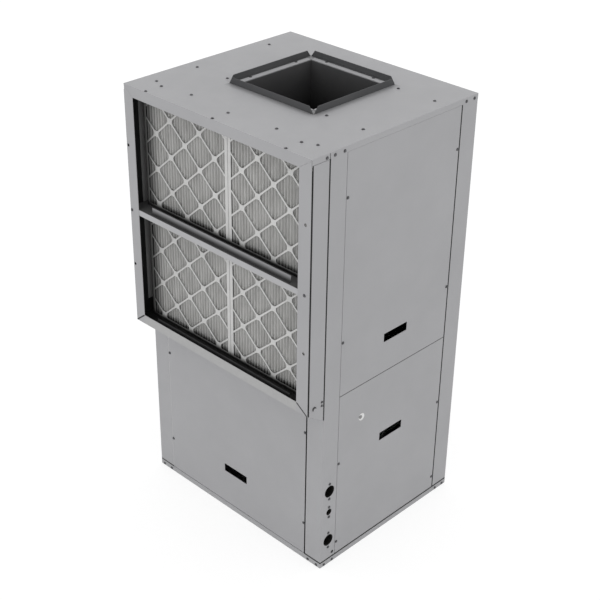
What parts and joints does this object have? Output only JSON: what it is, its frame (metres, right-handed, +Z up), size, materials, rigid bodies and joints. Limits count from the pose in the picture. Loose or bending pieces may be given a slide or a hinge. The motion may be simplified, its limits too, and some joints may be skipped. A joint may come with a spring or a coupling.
{
  "type": "water source heat pump",
  "caption": "Upright sheet metal heat pump cabinet with a side filter rack, lift-off panels, a top supply opening and water connections low at the front.",
  "frame": {"origin": "middle of the base of the part's box, on the floor", "axes": "+Z up; the front with the water connections faces -Y; the filter rack faces -X"},
  "size_m": [0.6118, 0.6788, 1.263],
  "materials": {
    "painted_steel": "satin grey coated sheet",
    "dark_steel": "dull dark grey sheet",
    "galvanised": "galvanised sheet",
    "bright_steel": "bright steel",
    "screw_steel": "zinc screws",
    "black_paint": "black paint",
    "copper": "copper tube",
    "brass": "brass",
    "fin_aluminium": "aluminium fins",
    "filter_board": "pleated cotton and polyester in a board frame",
    "insulation": "faced glass fibre",
    "plug_plastic": "grey plastic",
    "black_plastic": "black plastic",
    "clear_plastic": "vinyl hose",
    "black_rubber": "rubber",
    "board_green": "circuit board"
  },
  "bodies": {
    "cabinet": {"base_pan": "painted_steel", "post_front_left": "painted_steel", "post_front_right": "painted_steel", "post_back_left": "painted_steel", "post_back_right": "painted_steel", "right_side_panel": "painted_steel", "back_panel": "painted_steel", "top_panel": "painted_steel", "duct_flanges": "dark_steel", "fixed_linings": "insulation", "divider_deck": "galvanised", "filter_rack_frame": "painted_steel", "filter_rack_mid_rail": "painted_steel", "filter_rack_shelf": "painted_steel", "filter_retaining_strips": "painted_steel", "blower_housing": "galvanised", "blower_motor": "black_paint", "motor_bracket": "galvanised", "drain_pan": "black_plastic", "air_coil_fins": "fin_aluminium", "air_coil_plates": "galvanised", "air_coil_tubes": "copper", "water_inlet_line": "copper", "water_outlet_line": "copper", "condensate_line": "clear_plastic", "plate_heat_exchanger": "bright_steel", "compressor": "black_paint", "compressor_grommets": "black_rubber", "compressor_bolts": "screw_steel", "reversing_valve": "brass", "reversing_valve_coil": "black_plastic", "refrigerant_gas_lines": "copper", "refrigerant_liquid_lines": "copper", "filter_drier": "black_paint", "expansion_valve": "brass", "control_box": "galvanised", "compressor_contactor": "black_plastic", "transformer": "bright_steel", "run_capacitor": "bright_steel", "control_board": "board_green", "power_entry_bushing": "black_plastic", "cabinet_screws": "screw_steel"},
    "upper_front": {"upper_front_panel": "painted_steel", "upper_front_lining": "insulation", "upper_panel_screws": "screw_steel"},
    "lower_front": {"lower_front_panel": "painted_steel", "lower_front_lining": "insulation", "lower_panel_screws": "screw_steel", "hole_plug": "plug_plastic"},
    "lower_left": {"lower_left_panel": "painted_steel", "left_panel_screws": "screw_steel"},
    "rack_door": {"filter_rack_door": "painted_steel", "filter_door_screw": "screw_steel"},
    "upper_near_filter": {"filter_upper_near": "filter_board"},
    "upper_far_filter": {"filter_upper_far": "filter_board"},
    "lower_near_filter": {"filter_lower_near": "filter_board"},
    "lower_far_filter": {"filter_lower_far": "filter_board"},
    "blower_rotor": {"blower_wheel": "galvanised", "blower_shaft": "bright_steel"},
    "contactor_plunger": {"contactor_armature": "plug_plastic"}
  },
  "joints": [
    {"name": "upper_front_lift_off", "type": "slide", "parent": "cabinet", "child": "upper_front", "axis": [0, -1, 0], "range_m": [0, 0.25]},
    {"name": "lower_front_lift_off", "type": "slide", "parent": "cabinet", "child": "lower_front", "axis": [0, -1, 0], "range_m": [0, 0.25]},
    {"name": "lower_left_lift_off", "type": "slide", "parent": "cabinet", "child": "lower_left", "axis": [-1, 0, 0], "range_m": [0, 0.25]},
    {"name": "rack_door_lift_off", "type": "slide", "parent": "cabinet", "child": "rack_door", "axis": [0, -1, 0], "range_m": [0, 0.36]},
    {"name": "upper_near_filter_slide", "type": "slide", "parent": "cabinet", "child": "upper_near_filter", "axis": [0, -1, 0], "range_m": [0, 0.36]},
    {"name": "upper_far_filter_slide", "type": "slide", "parent": "cabinet", "child": "upper_far_filter", "axis": [0, -1, 0], "range_m": [0, 0.36]},
    {"name": "lower_near_filter_slide", "type": "slide", "parent": "cabinet", "child": "lower_near_filter", "axis": [0, -1, 0], "range_m": [0, 0.36]},
    {"name": "lower_far_filter_slide", "type": "slide", "parent": "cabinet", "child": "lower_far_filter", "axis": [0, -1, 0], "range_m": [0, 0.36]},
    {"name": "blower_spin", "type": "hinge", "parent": "cabinet", "child": "blower_rotor", "pos_m": [0.1065, -0.0748, 0.96], "axis": [0, 1, 0], "continuous": true},
    {"name": "contactor_pull_in", "type": "slide", "parent": "cabinet", "child": "contactor_plunger", "axis": [0, 1, 0], "range_m": [0, 0.004], "stiffness_N_per_m": 400}
  ],
  "couplings": [
    {"joint": "upper_near_filter_slide", "follows": "rack_door_lift_off", "ratio": 1},
    {"joint": "upper_far_filter_slide", "follows": "rack_door_lift_off", "ratio": 1},
    {"joint": "lower_near_filter_slide", "follows": "rack_door_lift_off", "ratio": 1},
    {"joint": "lower_far_filter_slide", "follows": "rack_door_lift_off", "ratio": 1}
  ]
}
